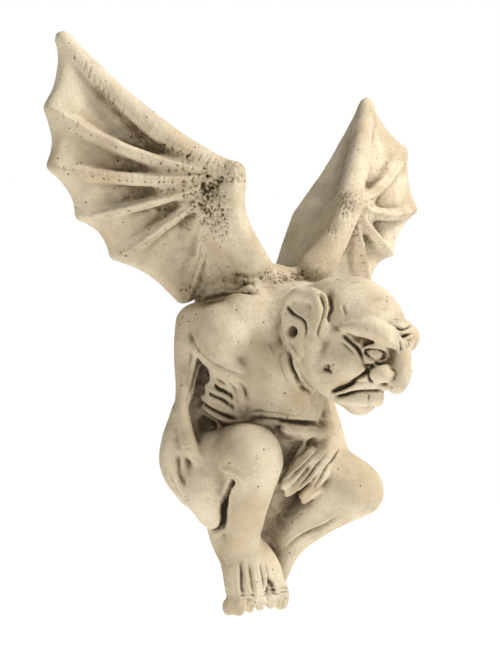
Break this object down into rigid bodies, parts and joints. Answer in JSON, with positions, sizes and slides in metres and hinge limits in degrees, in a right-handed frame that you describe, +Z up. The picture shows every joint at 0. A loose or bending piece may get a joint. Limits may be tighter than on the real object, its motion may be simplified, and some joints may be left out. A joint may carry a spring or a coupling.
{
  "type": "gargoyle wall plaque",
  "caption": "Cast-stone winged gargoyle wall plaque: a squatting grotesque with raised bat wings, head thrust forward and hands between its knees.",
  "frame": {"origin": "on the flat back, at the middle of the figure's width and about half way up its height", "axes": "+X to the right as the front is seen, +Y square to the flat back and into the wall, +Z up"},
  "size_m": [0.4405, 0.1922, 0.4923],
  "materials": {
    "stone": "matte cast stone, cream with a brown and greenish-black wash in the recesses"
  },
  "bodies": {
    "root": {"gargoyle": "stone"}
  },
  "joints": []
}
